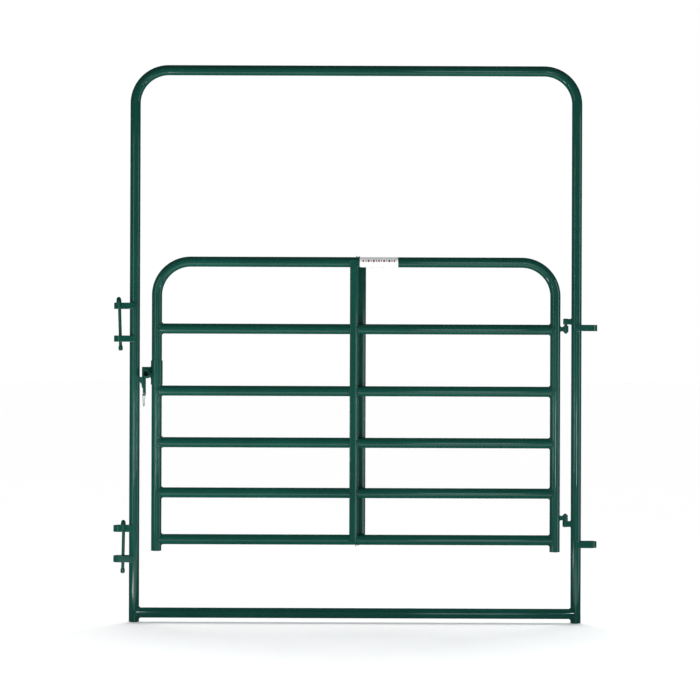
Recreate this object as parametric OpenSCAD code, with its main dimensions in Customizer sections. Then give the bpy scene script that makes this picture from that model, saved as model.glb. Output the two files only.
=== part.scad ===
// Bow gate for a livestock panel fence: an arched frame of round steel tube
// carries a swing leaf on two opposed pintle hinges. A gravity latch slides on
// the leaf's free stile, and drop pins join the frame to the panels beside it.
// Millimetres, +Z up. X runs along the fence from the latch post to the hinge
// post, -Y faces the yard, and the origin is on the ground midway between posts.

/* [Tube] */
// Outside diameter of every frame and leaf tube
tube_d = 41.3; // [33:0.1:50]
// Wall thickness of the tube
tube_wall = 1.65; // [1.2:0.05:3]
// Root gap where a coped end meets the tube that it is welded to
cope_gap = 0.2; // [0.1:0.05:0.5]

/* [Bow frame] */
// Width over the posts
frame_w = 1829; // [1500:1:2250]
// Height from the ground to the top of the arch
frame_h = 2253; // [1860:1:2750]
// Centreline radius of the two bends of the arch
frame_bend_r = 135; // [100:1:250]
// Height of the sill tube's centre above the post ends
sill_z = 36.4; // [28:0.1:80]

/* [Leaf] */
// Height of the leaf's stile ends above the ground
leaf_bottom_z = 287.4; // [100:0.1:400]
// Clear gap between the hinge post and the leaf
hinge_gap = 44.3; // [35:0.1:60]
// Clear gap between the latch post and the leaf
latch_gap = 48; // [40:0.1:60]
// Centreline radius of the leaf's two top bends
leaf_bend_r = 137; // [90:1:200]
// Stile length below the centre of the lowest rail
stile_stub = 46.6; // [30:0.1:80]
// Spacing from rail 1, the lowest, to rail 2
rail_pitch_1 = 189; // [120:0.1:300]
// Spacing from rail 2 to rail 3
rail_pitch_2 = 203.4; // [120:0.1:300]
// Spacing from rail 3 to rail 4
rail_pitch_3 = 208.9; // [120:0.1:300]
// Spacing from rail 4 to rail 5
rail_pitch_4 = 251.2; // [240:0.1:350]
// Spacing from rail 5 to the top tube
rail_pitch_5 = 271.1; // [220:0.1:350]

/* [Centre brace] */
// Offset of the brace's web from the middle of the frame
brace_x = 9; // [-200:0.1:200]
// Width over both flanges
brace_w = 65; // [50:0.1:90]
// Sheet thickness
brace_t = 2; // [1.5:0.1:3]
// Outside radius of the folds between web and flanges
brace_fold_r = 5; // [4:0.1:6]
// Depth of the lip turned in along each flange edge
brace_lip = 9; // [7:0.1:12]
// Outside radius of the fold at each lip
lip_fold_r = 4; // [3.5:0.1:5]
// Clearance between a tube and the brace around it
brace_fit = 0.4; // [0.2:0.05:1]
// Height of the notch that lets a rail through a fold
fold_notch_h = 25; // [22:0.5:32]
// Depth of the gap between each lip's notch and the tube
lip_notch_gap = 1; // [0.5:0.1:3]
// Brace length past the centres of its two end tubes
brace_end = 9; // [5:0.5:15]

/* [Hinges] */
// Diameter of both pintle pins
hinge_pin_d = 12.7; // [10:0.1:15]
// Radial running clearance of the eyes on the pins
hinge_fit = 0.1; // [0.05:0.01:0.3]
// Outside diameter of the eyes on the leaf
eye_d = 21; // [20:0.1:24]
// Centre height of the upper eye
upper_eye_z = 1189.5; // [1000:0.1:1300]
// Length of the upper eye
upper_eye_h = 26; // [20:0.1:34]
// Centre height of the lower eye
lower_eye_z = 424.8; // [350:0.1:600]
// Length of the lower eye
lower_eye_h = 25; // [20:0.1:34]
// Height of the stems that carry the eyes
stem_h = 18; // [14:0.1:20]
// Thickness of the stems
stem_t = 12; // [8:0.1:16]
// Height of the pintle lugs on the post
lug_h = 22.5; // [18:0.1:30]
// Width of the pintle lugs
lug_w = 22; // [19:0.1:26]
// Lift left between the upper eye and the lug over it
upper_neck = 5.9; // [3:0.1:12]
// Gap between the lower eye and the lug under it
lower_neck = 0.4; // [0.3:0.1:2]
// Length of pin that shows past each eye
pin_show = 5.5; // [3:0.1:12]

/* [Panel connectors] */
// Reach of the loops beyond the post's surface
loop_reach = 63.4; // [56:0.1:80]
// Height of the flat bar
loop_h = 25.4; // [18:0.1:35]
// Thickness of the flat bar
loop_t = 5; // [3:0.1:6]
// Gap between a loop's legs and the post
loop_fit = 0.2; // [0.1:0.05:0.5]
// Middle height of the upper pair on the latch post
upper_pair_z = 1211.3; // [1000:0.1:1400]
// Spacing of the two loops of the upper pair
upper_pair_pitch = 132.8; // [100:0.1:150]
// Middle height of the lower pair on the latch post
lower_pair_z = 315.5; // [250:0.1:600]
// Spacing of the two loops of the lower pair
lower_pair_pitch = 122.7; // [100:0.1:150]
// Height of the upper single loop on the hinge post
upper_single_z = 1194.4; // [1000:0.1:1400]
// Height of the lower single loop on the hinge post
lower_single_z = 318.2; // [250:0.1:600]

/* [Drop pins] */
// Diameter of the pins' shanks
pin_d = 12.7; // [10:0.1:15]
// Diameter of the hooked head
pin_head_d = 16.8; // [14:0.1:19]
// Gap between the hook and the loop that it straddles
hook_fit = 0.6; // [0.4:0.1:2]
// Length of the hook's free leg below its bend
hook_leg = 14; // [8:0.1:20]
// Length of pin below the top of the loop it hangs on
pin_drop = 194; // [180:0.1:230]
// Diameter of the upset tip
pin_tip_d = 17.6; // [15.5:0.1:20]
// Length of the upset tip
pin_tip_h = 22; // [20:0.1:30]
// Distance of the upper pin's centre from the post's surface
upper_pin_x = 39.8; // [22:0.1:46]
// Outward lean of the upper pin, in degrees
upper_pin_lean = 1.7; // [0:0.1:2]
// Distance of the lower pin's centre from the post's surface
lower_pin_x = 23.2; // [20:0.1:46]
// Outward lean of the lower pin, in degrees
lower_pin_lean = -1.1; // [-2:0.1:2]

/* [Gravity latch] */
// Wall thickness of the latch sleeve
sleeve_wall = 2.6; // [2:0.1:4]
// Radial clearance of the sleeve on the stile
sleeve_fit = 0.6; // [0.3:0.1:1.2]
// Height of the sleeve
sleeve_h = 98; // [80:0.5:120]
// Gap under the sleeve for the weld that it rests on
sleeve_seat = 3; // [0.5:0.1:5]
// Thickness of the latch plate
plate_t = 6.4; // [4:0.1:8]
// Height of the latch plate
plate_h = 46.2; // [40:0.1:60]
// Height of the plate's lower edge above the sleeve's lower end
plate_rise = 25.8; // [15:0.1:35]
// Radius of the plate's rounded corner around the grip
plate_corner_r = 20; // [17:0.1:23]
// Plate width outside the tongue
plate_margin = 3.2; // [1:0.1:6]
// Diameter of the tongue
tongue_d = 12.7; // [10:0.1:15]
// Clear gap between the post and the tongue
tongue_gap = 12; // [9:0.1:15]
// Length of the tongue below the plate
tongue_l = 70.7; // [60:0.1:85]
// Diameter of the lifting grip
grip_d = 28; // [24:0.1:32]
// Wall thickness of the lifting grip
grip_wall = 2.6; // [2:0.1:4]
// Length of the lifting grip
grip_l = 45; // [30:0.5:60]
// Gap between the lifting grip and the sleeve
grip_gap = 0.5; // [0.2:0.1:2]

/* [Keeper] */
// Thickness of the two keeper cheeks
keeper_t = 4; // [3:0.1:6]
// Gap between each cheek and the tongue
keeper_fit = 1; // [0.5:0.1:2]
// Height of the cheeks' upper edge above the plate's lower edge
keeper_rise = 5.3; // [2:0.1:10]
// Height of the arm that is welded to the post
keeper_arm_h = 19; // [15:0.1:24]
// Full height of the cheeks at the tongue
keeper_h = 45; // [38:0.1:55]
// Width of each cheek's leg beside the tongue
keeper_leg_w = 6; // [5:0.1:8]
// Gap between the cheeks' edges and the clip's wire
keeper_clip_gap = 0.6; // [0.4:0.1:1]

/* [Hitch clip] */
// Wire diameter of the clip
clip_wire_d = 3.2; // [2.4:0.1:4]
// Width over the clip's loop at its top
clip_w = 12.5; // [11:0.1:16]
// Width over the clip's loop at its foot
clip_foot_w = 7; // [6:0.1:9]
// Length of the clip's loop below its pivot
clip_l = 55; // [45:0.1:70]
// Height of the clip's hole above the tongue's end
clip_hole_rise = 11; // [8:0.1:16]
// Radial clearance of the clip in its hole
clip_fit = 0.3; // [0.2:0.1:0.6]
// Gap between the clip's loop and the front cheek
clip_stand = 1; // [0.5:0.1:2]
// Length of the clip's leg past the far side of the tongue
clip_leg_show = 6; // [4:0.5:12]

/* [Label] */
// Length of the label on the leaf's top tube
label_l = 155; // [80:0.5:250]
// Distance from the middle of the frame to the label's near end
label_x = 15.6; // [-200:0.1:200]
// Thickness of the label
label_t = 0.4; // [0.3:0.1:0.6]
// Angle that the label wraps up and down from the front
label_wrap = 78; // [40:1:85]

/* [Hidden] */

$fn = 64;
eps = 0.01;
past = 5;

enamel = "#16493c";
zinc = "#b9bec2";
paper = "#f4f4f4";

tube_r = tube_d / 2;
post_x = frame_w / 2 - tube_r;

// Leaf, set out from the two gaps
stile_x_hinge = post_x - tube_r - hinge_gap - tube_r;
stile_x_latch = -post_x + tube_r + latch_gap + tube_r;
leaf_w = stile_x_hinge - stile_x_latch + tube_d;
leaf_mid_x = (stile_x_hinge + stile_x_latch) / 2;
rail_1_z = leaf_bottom_z + stile_stub;
rail_2_z = rail_1_z + rail_pitch_1;
rail_3_z = rail_2_z + rail_pitch_2;
rail_4_z = rail_3_z + rail_pitch_3;
rail_5_z = rail_4_z + rail_pitch_4;
leaf_top_z = rail_5_z + rail_pitch_5;
leaf_h = leaf_top_z + tube_r - leaf_bottom_z;

// Brace section
brace_half = tube_r + brace_fit + brace_t;

// Hinges
hinge_x = post_x - tube_r - hinge_gap / 2;
upper_lug_z = upper_eye_z + upper_eye_h / 2 + upper_neck;
lower_lug_z = lower_eye_z - lower_eye_h / 2 - lower_neck - lug_h;

// Connector loops: the inside of the bar is a slot as wide as the post
loop_in = tube_r + loop_fit;
loop_out = loop_in + loop_t;
loop_straight = tube_r + loop_reach - loop_out;

// Drop pins: the hook's bend is as wide as the bar that it straddles needs
hook_r = (loop_out + hook_fit + pin_head_d / 2) / 2;
hook_in = hook_r - pin_head_d / 2;
hook_seat = sqrt(pow(hook_in, 2) - pow(loop_out - hook_r, 2)) - hook_fit;

// Latch, standing on the fourth rail's weld
sleeve_in = tube_r + sleeve_fit;
sleeve_out = sleeve_in + sleeve_wall;
sleeve_z = rail_4_z + tube_r + sleeve_seat;
tongue_x = -post_x + tube_r + tongue_gap + tongue_d / 2;
plate_x = tongue_x - tongue_d / 2 - plate_margin;
plate_z = sleeve_z + plate_rise;
tongue_z = plate_z - tongue_l;
grip_x = stile_x_latch - sleeve_out - grip_gap - grip_d / 2;
grip_z = plate_z + plate_corner_r;
clip_z = tongue_z + clip_hole_rise;

// Keeper cheeks stand beside the tongue and stop short of the clip's wire
keeper_y = tongue_d / 2 + keeper_fit;
keeper_edge_x = tongue_x - clip_wire_d / 2 - keeper_clip_gap;
keeper_top_z = plate_z + keeper_rise;

// Clip loop, hung clear of the front cheek
clip_r = clip_wire_d / 2;
clip_y = -keeper_y - keeper_t - clip_stand - clip_r;

// ---- shared shapes ----

// Round tube along +Z from the origin
module pipe(l, d = tube_d, wall = tube_wall) {
    difference() {
        cylinder(h = l, d = d);
        translate([0, 0, -past]) cylinder(h = l + 2 * past, d = d - 2 * wall);
    }
}

// Quarter bend of tube in the XZ plane, from +X round to +Z about the origin
module pipe_bend(bend_r) {
    rotate([90, 0, 0])
        rotate_extrude(angle = 90)
            translate([bend_r, 0])
                difference() {
                    circle(d = tube_d);
                    circle(d = tube_d - 2 * tube_wall);
                }
}

// Inverted U of bent tube, centred on X = 0, with its open ends at Z = 0
module bow(w, h, bend_r) {
    leg_x = w / 2 - tube_r;
    leg_l = h - tube_r - bend_r;
    for (side = [0, 1]) mirror([side, 0, 0]) {
        translate([leg_x, 0, 0]) pipe(leg_l);
        translate([leg_x - bend_r, 0, leg_l]) pipe_bend(bend_r);
    }
    translate([-(leg_x - bend_r), 0, h - tube_r])
        rotate([0, 90, 0]) pipe(2 * (leg_x - bend_r));
}

// Tube along X between two upright tubes, coped to both
module coped_tube(x1, x2, z) {
    difference() {
        translate([x1, 0, z]) rotate([0, 90, 0]) pipe(x2 - x1);
        for (x = [x1, x2])
            translate([x, 0, z - tube_d]) cylinder(h = 2 * tube_d, r = tube_r + cope_gap);
    }
}

// Flat-bar loop around the origin's post, reaching out along +X
module connector_loop() {
    translate([0, 0, -loop_h / 2]) {
        for (side = [0, 1]) mirror([0, side, 0])
            translate([0, loop_in, 0]) cube([loop_straight, loop_t, loop_h]);
        translate([loop_straight, 0, 0])
            rotate([0, 0, -90])
                rotate_extrude(angle = 180)
                    translate([loop_in, 0]) square([loop_t, loop_h]);
    }
}

module latch_post_loop(z) {
    color(enamel) translate([-post_x, 0, z]) mirror([1, 0, 0]) connector_loop();
}

module hinge_post_loop(z) {
    color(enamel) translate([post_x, 0, z]) connector_loop();
}

// ---- frame ----

module frame_bow() {
    color(enamel) bow(frame_w, frame_h, frame_bend_r);
}

module frame_sill() {
    color(enamel) coped_tube(-post_x, post_x, sill_z);
}

// Lug from the hinge post to the hinge axis, bored for its pin
module hinge_lug(z) {
    color(enamel) translate([hinge_x, 0, z])
        difference() {
            union() {
                cylinder(h = lug_h, d = lug_w);
                translate([0, -lug_w / 2, 0]) cube([hinge_gap / 2 + tube_r, lug_w, lug_h]);
            }
            translate([post_x - hinge_x, 0, -past])
                cylinder(h = lug_h + 2 * past, r = tube_r + cope_gap);
            translate([0, 0, -past]) cylinder(h = lug_h + 2 * past, d = hinge_pin_d);
        }
}

// Pintle pin of length l with a rounded far end, along +Z from the origin
module pintle_pin(l) {
    tip = hinge_pin_d / 4;
    tip_d = hinge_pin_d * 0.6;
    color(enamel) {
        cylinder(h = l - tip, d = hinge_pin_d);
        translate([0, 0, l - tip]) cylinder(h = tip, d1 = hinge_pin_d, d2 = tip_d);
    }
}

module upper_hinge_lug() {
    hinge_lug(upper_lug_z);
}

// The upper pin points down from the top of its lug
module upper_hinge_pin() {
    translate([hinge_x, 0, upper_lug_z + lug_h])
        mirror([0, 0, 1]) pintle_pin(lug_h + upper_neck + upper_eye_h + pin_show);
}

module lower_hinge_lug() {
    hinge_lug(lower_lug_z);
}

// The lower pin points up from the underside of its lug
module lower_hinge_pin() {
    translate([hinge_x, 0, lower_lug_z])
        pintle_pin(lug_h + lower_neck + lower_eye_h + pin_show);
}

// Cheek cut from plate: an arm from the post that turns down along the tongue
module keeper_cheek() {
    reach = keeper_edge_x + post_x;
    leg_x = reach - keeper_leg_w;
    slope_w = 3;
    slope_h = 9;
    translate([-post_x, 0, keeper_top_z])
        difference() {
            rotate([90, 0, 0])
                linear_extrude(keeper_t)
                    polygon([
                        [0, 0], [reach, 0], [reach, -keeper_h], [leg_x, -keeper_h],
                        [leg_x - slope_w, -keeper_arm_h - slope_h],
                        [tube_r, -keeper_arm_h], [0, -keeper_arm_h]
                    ]);
            translate([0, 0, -keeper_h - past])
                cylinder(h = keeper_h + 2 * past, r = tube_r + cope_gap);
        }
}

module keeper_front_cheek() {
    color(enamel) translate([0, -keeper_y, 0]) keeper_cheek();
}

module keeper_rear_cheek() {
    color(enamel) translate([0, keeper_y + keeper_t, 0]) keeper_cheek();
}

// ---- leaf ----

module leaf_bow() {
    color(enamel) translate([leaf_mid_x, 0, leaf_bottom_z]) bow(leaf_w, leaf_h, leaf_bend_r);
}

module leaf_rail(z) {
    color(enamel) coped_tube(stile_x_latch, stile_x_hinge, z);
}

// Quarter ring in the first quadrant, the section of a fold
module fold_2d(r) {
    intersection() {
        difference() {
            circle(r = r);
            circle(r = r - brace_t);
        }
        square(r);
    }
}

// Half of the Z section, from the web's middle to the front flange's lip
module brace_half_2d() {
    web_r = brace_t / 2;
    flange_l = brace_w / 2;
    flange_start = web_r - brace_fold_r;
    flange_end = -flange_l + lip_fold_r;
    translate([-web_r, -(brace_half - brace_fold_r)]) square([brace_t, brace_half - brace_fold_r]);
    translate([flange_start, -(brace_half - brace_fold_r)]) mirror([0, 1]) fold_2d(brace_fold_r);
    translate([flange_end, -brace_half]) square([flange_start - flange_end, brace_t]);
    translate([flange_end, -brace_half + lip_fold_r]) rotate(180) fold_2d(lip_fold_r);
    translate([-flange_l, -brace_half + lip_fold_r]) square([brace_t, brace_lip - lip_fold_r]);
}

// Everything that a tube through the brace needs cut away around it
module brace_cutout() {
    fold_w = brace_fold_r + brace_t / 2;
    fold_notch_depth = brace_half - tube_r / 2;
    lip_notch_half = tube_r + brace_fit + lip_notch_gap;
    lip_depth = brace_lip - brace_t + eps;
    rotate([0, 90, 0])
        translate([0, 0, -brace_w]) cylinder(h = 2 * brace_w, r = tube_r + brace_fit / 2);
    for (turn = [0, 180]) rotate([0, 0, turn]) {
        translate([-fold_w, -brace_half - past, -fold_notch_h / 2])
            cube([2 * fold_w - brace_fold_r, past + fold_notch_depth, fold_notch_h]);
        translate([-brace_w / 2 - past, -brace_half + brace_t, -lip_notch_half])
            cube([past + lip_fold_r, lip_depth, 2 * lip_notch_half]);
    }
}

// Lipped Z section that the rails pass through, welded at every crossing
module centre_brace() {
    bottom = rail_1_z - brace_end;
    color(enamel) translate([brace_x, 0, 0])
        difference() {
            translate([0, 0, bottom])
                linear_extrude(leaf_top_z + brace_end - bottom) {
                    brace_half_2d();
                    rotate(180) brace_half_2d();
                }
            for (z = [rail_1_z, rail_2_z, rail_3_z, rail_4_z, rail_5_z, leaf_top_z])
                translate([0, 0, z]) brace_cutout();
        }
}

// Eye on a stem from the hinge stile, bored to run on its pin
module hinge_eye(z, h) {
    reach = hinge_x - stile_x_hinge;
    color(enamel) translate([hinge_x, 0, z])
        difference() {
            union() {
                translate([0, 0, -h / 2]) cylinder(h = h, d = eye_d);
                translate([-reach, -stem_t / 2, -stem_h / 2]) cube([reach, stem_t, stem_h]);
            }
            translate([0, 0, -h]) cylinder(h = 2 * h, r = hinge_pin_d / 2 + hinge_fit);
            translate([-reach, 0, -h]) cylinder(h = 2 * h, r = tube_r + cope_gap);
        }
}

module upper_hinge_eye() {
    hinge_eye(upper_eye_z, upper_eye_h);
}

module lower_hinge_eye() {
    hinge_eye(lower_eye_z, lower_eye_h);
}

// Thin label wrapped round the front of the leaf's top tube
module label() {
    color(paper) translate([label_x, 0, leaf_top_z])
        rotate([0, 90, 0])
            rotate([0, 0, -90 - label_wrap])
                rotate_extrude(angle = 2 * label_wrap)
                    translate([tube_r, 0]) square([label_t, label_l]);
}

// ---- latch ----

module latch_sleeve() {
    color(enamel) translate([stile_x_latch, 0, sleeve_z])
        pipe(sleeve_h, 2 * sleeve_out, sleeve_wall);
}

// Plate from the sleeve to the tongue, rounded below the grip
module latch_plate() {
    color(enamel)
        difference() {
            translate([0, plate_t / 2, 0])
                rotate([90, 0, 0])
                    linear_extrude(plate_t) {
                        translate([plate_x, plate_z]) square([grip_x - plate_x, plate_h]);
                        translate([grip_x, grip_z])
                            square([stile_x_latch - grip_x, plate_z + plate_h - grip_z]);
                        intersection() {
                            translate([grip_x, grip_z]) circle(r = plate_corner_r);
                            translate([grip_x, plate_z]) square([plate_corner_r, plate_corner_r]);
                        }
                    }
            translate([stile_x_latch, 0, plate_z - past])
                cylinder(h = plate_h + 2 * past, r = sleeve_out);
        }
}

// Round bar below the plate, drilled across for the hitch clip
module latch_tongue() {
    taper_h = 4;
    taper_d = tongue_d * 0.7;
    color(enamel)
        difference() {
            translate([tongue_x, 0, tongue_z]) {
                cylinder(h = taper_h, d1 = taper_d, d2 = tongue_d);
                translate([0, 0, taper_h]) cylinder(h = tongue_l - taper_h, d = tongue_d);
            }
            translate([tongue_x, -tongue_d, clip_z])
                rotate([-90, 0, 0]) cylinder(h = 2 * tongue_d, r = clip_r + clip_fit);
        }
}

// Stub of tube on the front of the plate, to lift the latch by
module latch_grip() {
    color(enamel) translate([grip_x, -plate_t / 2, grip_z])
        rotate([90, 0, 0]) pipe(grip_l, grip_d, grip_wall);
}

// Length of wire from p to q in the XZ plane
module wire_line(p, q) {
    run = q - p;
    translate([p[0], 0, p[1]])
        rotate([0, atan2(run[0], run[1]), 0]) cylinder(h = norm(run), r = clip_r);
}

// Arc of wire in the XZ plane about c, from angle a through angle sweep
module wire_arc(c, r, a, sweep) {
    translate([c[0], 0, c[1]])
        rotate([90, 0, 0]) rotate([0, 0, a])
            rotate_extrude(angle = sweep) translate([r, 0]) circle(r = clip_r);
}

// Teardrop loop of wire that hangs from a straight, slightly slimmer leg through
// the tongue
module hitch_clip() {
    top_r = clip_w / 2 - clip_r;
    foot_r = clip_foot_w / 2 - clip_r;
    top = [0, -top_r];
    foot = [0, -clip_l + foot_r + clip_r];
    splay = asin((top_r - foot_r) / norm(top - foot));
    side = [cos(splay), -sin(splay)];
    leg_l = -clip_y + tongue_d / 2 + clip_leg_show;
    leg_r = clip_r - 0.3;
    color(zinc) translate([tongue_x, clip_y, clip_z]) {
        wire_arc(top, top_r, -splay, 180 + 2 * splay);
        wire_arc(foot, foot_r, 180 + splay, 180 - 2 * splay);
        wire_line(foot + foot_r * side, top + top_r * side);
        wire_line(foot + [-foot_r * side[0], foot_r * side[1]],
            top + [-top_r * side[0], top_r * side[1]]);
        rotate([-90, 0, 0]) cylinder(h = leg_l, r = leg_r);
    }
}

// ---- drop pins ----

// Pin with its hook over the front leg of a loop whose top is at Z = 0. The
// straight parts are a little slimmer than the bend and run a spigot into it.
module drop_pin() {
    shoulder = 5;
    neck = 7;
    spigot = 1;
    cap = pin_tip_d / 4;
    shank_r = pin_d / 2;
    head_r = pin_head_d / 2;
    leg_r = head_r - 0.3;
    tip_r = pin_tip_d / 2;
    bend = pin_drop - hook_seat;
    leg_end = leg_r / 2 + hook_leg + spigot;
    color(enamel) {
        translate([0, 0, -pin_drop])
            rotate_extrude()
                polygon([
                    [0, 0], [tip_r * 0.6, 0], [tip_r, cap], [tip_r, pin_tip_h - neck],
                    [shank_r, pin_tip_h], [shank_r, bend - shoulder],
                    [leg_r, bend], [leg_r, bend + spigot], [0, bend + spigot]
                ]);
        translate([0, -hook_r, -hook_seat])
            rotate([90, 0, 90])
                rotate_extrude(angle = 180) translate([hook_r, 0]) circle(r = head_r);
        translate([0, -2 * hook_r, -hook_seat - hook_leg - leg_r / 2])
            rotate_extrude()
                polygon([
                    [0, 0], [leg_r * 0.6, 0], [leg_r, leg_r / 2], [leg_r, leg_end], [0, leg_end]
                ]);
    }
}

// Pin hung in the pair at height z, x out from the post, leaning outward at its top
module hung_pin(z, pitch, x, lean) {
    translate([-post_x - tube_r - x, 0, z])
        rotate([0, -lean, 0])
            translate([0, 0, pitch / 2 + loop_h / 2]) drop_pin();
}

module upper_drop_pin() {
    hung_pin(upper_pair_z, upper_pair_pitch, upper_pin_x, upper_pin_lean);
}

module lower_drop_pin() {
    hung_pin(lower_pair_z, lower_pair_pitch, lower_pin_x, lower_pin_lean);
}

frame_bow();
frame_sill();
latch_post_loop(upper_pair_z + upper_pair_pitch / 2);  // latch_post_loop_1
latch_post_loop(upper_pair_z - upper_pair_pitch / 2);  // latch_post_loop_2
latch_post_loop(lower_pair_z + lower_pair_pitch / 2);  // latch_post_loop_3
latch_post_loop(lower_pair_z - lower_pair_pitch / 2);  // latch_post_loop_4
hinge_post_loop(upper_single_z);  // hinge_post_loop_1
hinge_post_loop(lower_single_z);  // hinge_post_loop_2
upper_hinge_lug();
upper_hinge_pin();
lower_hinge_lug();
lower_hinge_pin();
keeper_front_cheek();
keeper_rear_cheek();
leaf_bow();
leaf_rail(rail_1_z);  // leaf_rail_1
leaf_rail(rail_2_z);  // leaf_rail_2
leaf_rail(rail_3_z);  // leaf_rail_3
leaf_rail(rail_4_z);  // leaf_rail_4
leaf_rail(rail_5_z);  // leaf_rail_5
centre_brace();
upper_hinge_eye();
lower_hinge_eye();
label();
latch_sleeve();
latch_plate();
latch_tongue();
latch_grip();
hitch_clip();
upper_drop_pin();
lower_drop_pin();
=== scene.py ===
"""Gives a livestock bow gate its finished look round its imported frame.

The bent tubes, coped rails and weld beads are grown by node trees, the cut plates and bars
get softened edges, and every piece gets an enamel, plated or printed film finish. Metres, +Z up.
"""

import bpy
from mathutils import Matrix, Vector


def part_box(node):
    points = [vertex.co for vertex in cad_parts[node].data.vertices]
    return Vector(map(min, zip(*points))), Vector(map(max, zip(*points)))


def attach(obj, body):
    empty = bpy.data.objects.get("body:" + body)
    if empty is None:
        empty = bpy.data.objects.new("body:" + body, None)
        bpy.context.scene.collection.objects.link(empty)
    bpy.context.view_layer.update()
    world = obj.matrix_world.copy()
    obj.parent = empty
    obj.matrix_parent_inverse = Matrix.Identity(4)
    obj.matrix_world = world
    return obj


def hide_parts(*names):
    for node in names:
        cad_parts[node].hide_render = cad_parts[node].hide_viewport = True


bl_info = {
    "name": "Livestock Bow Gate",
    "version": (1, 0, 0),
    "blender": (4, 5, 0),
    "location": "3D View > Sidebar > Bow Gate",
    "description": "Enamelled tube gate with coped rails, weld beads, pintle hinges and drop pins",
    "category": "Object",
}

import math

import bmesh
import bpy
from bpy.props import FloatProperty, FloatVectorProperty, IntProperty, PointerProperty
from mathutils import Matrix, Vector

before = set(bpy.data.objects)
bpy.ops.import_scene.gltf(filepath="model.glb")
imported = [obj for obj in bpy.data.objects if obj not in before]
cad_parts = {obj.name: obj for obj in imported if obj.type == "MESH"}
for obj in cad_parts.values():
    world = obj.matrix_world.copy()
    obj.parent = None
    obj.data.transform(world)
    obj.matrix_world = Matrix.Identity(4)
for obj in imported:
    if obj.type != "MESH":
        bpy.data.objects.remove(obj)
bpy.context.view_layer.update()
ENAMEL, FILM = "green_enamel", "label_film"


# ---- places, read from the frame ----


def middle(node):
    """Middle of a CAD node's box."""
    low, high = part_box(node)
    return (low + high) / 2


def extent(node):
    """Size of a CAD node's box."""
    low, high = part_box(node)
    return high - low


RAILS = [f"leaf_rail_{number}" for number in range(1, 6)]
TUBE_D = extent("frame_sill").z
TUBE_R = TUBE_D / 2
POST_X = extent("frame_bow").x / 2 - TUBE_R
FRAME_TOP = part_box("frame_bow")[1].z - TUBE_R
LEAF_LOW, LEAF_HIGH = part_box("leaf_bow")
LEAF_FOOT = LEAF_LOW.z
LEAF_TOP = LEAF_HIGH.z - TUBE_R
STILE_X = (LEAF_LOW.x + TUBE_R, LEAF_HIGH.x - TUBE_R)
LEAF_MID = (STILE_X[0] + STILE_X[1]) / 2
HINGE_X = middle("upper_hinge_pin").x
BRACE = middle("centre_brace")
BRACE_HALF = extent("centre_brace") / 2


# ---- sizes and colours that a user would change ----


def length(name, description, default):
    """A size in metres."""
    return FloatProperty(
        name=name,
        description=description,
        default=default,
        min=0.0,
        precision=5,
        subtype="DISTANCE",
        unit="LENGTH",
    )


def angle(name, description, default):
    """An angle in radians."""
    return FloatProperty(name=name, description=description, default=default, subtype="ANGLE")


def amount(name, description, default):
    """A share, a power or a strength."""
    return FloatProperty(name=name, description=description, default=default, min=0.0)


def colour(name, description, default):
    """A colour of a finish, in scene linear values."""
    return FloatVectorProperty(
        name=name,
        description=description,
        default=default,
        size=3,
        subtype="COLOR",
        min=0,
        max=1,
    )


class GateTubeSettings(bpy.types.PropertyGroup):
    """Sizes of the tubes"""

    diameter: length("Tube diameter", "Outside diameter of the tubes", TUBE_D)
    wall: length("Wall", "Wall thickness of the tubes", 0.00165)
    frame_bend: length("Frame bend", "Centreline radius of the arch's bends", 0.135)
    leaf_bend: length("Leaf bend", "Centreline radius of the leaf's bends", 0.137)
    root_gap: length("Root gap", "Gap between a coped end and the tube that it meets", 0.0002)
    sides: IntProperty(name="Sides", description="Faces round each tube", default=64, min=16, max=128)
    bend_steps: IntProperty(name="Bend steps", description="Rings along each bend", default=28, min=8, max=64)


class GateWeldSettings(bpy.types.PropertyGroup):
    """Sizes of the weld beads"""

    joint: length("Joint bead", "Bead radius where tube meets tube", 0.0036)
    bracket: length("Bracket bead", "Bead radius round lugs, eyes, cheeks and loops", 0.0024)
    small: length("Small bead", "Bead radius on the latch and the brace", 0.0017)
    pitch: length("Ripple pitch", "Distance from one ripple to the next", 0.0032)
    ripple: amount("Ripple", "Depth of the ripples, as a share of the bead's radius", 0.16)
    seed: IntProperty(name="Seed", description="Seed of the beads' unevenness", default=7, min=0)


class GateFinishSettings(bpy.types.PropertyGroup):
    """Colours and texture of the finishes"""

    enamel: colour("Enamel", "Colour of the enamel", (0.0058, 0.061, 0.0445))
    thin: colour("Thin enamel", "Colour where the enamel draws back from an edge", (0.026, 0.16, 0.118))
    zinc: colour("Zinc", "Colour of the plated wire", (0.62, 0.64, 0.67))
    film: colour("Film", "Colour of the label's film", (0.94, 0.93, 0.93))
    print_dark: colour("Print", "Colour of the label's printed marks", (0.09, 0.055, 0.07))
    print_warm: colour("Warm print", "Colour of every third mark", (0.46, 0.11, 0.13))
    peel: length("Peel", "Size of the enamel's orange peel", 0.005)
    edge: length("Edge rounding", "Rounding of the cut edges", 0.0008)


class GateLabelSettings(bpy.types.PropertyGroup):
    """Sizes of the label's film"""

    wrap: angle("Wrap", "Angle that the film wraps up and down from the front", math.radians(78))
    corner: length("Corner", "Rounding of the film's corners", 0.004)
    lift: length("Lift", "From the tube to the outside of the film", 0.0004)
    film: length("Film", "Thickness of the film", 0.00035)


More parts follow.
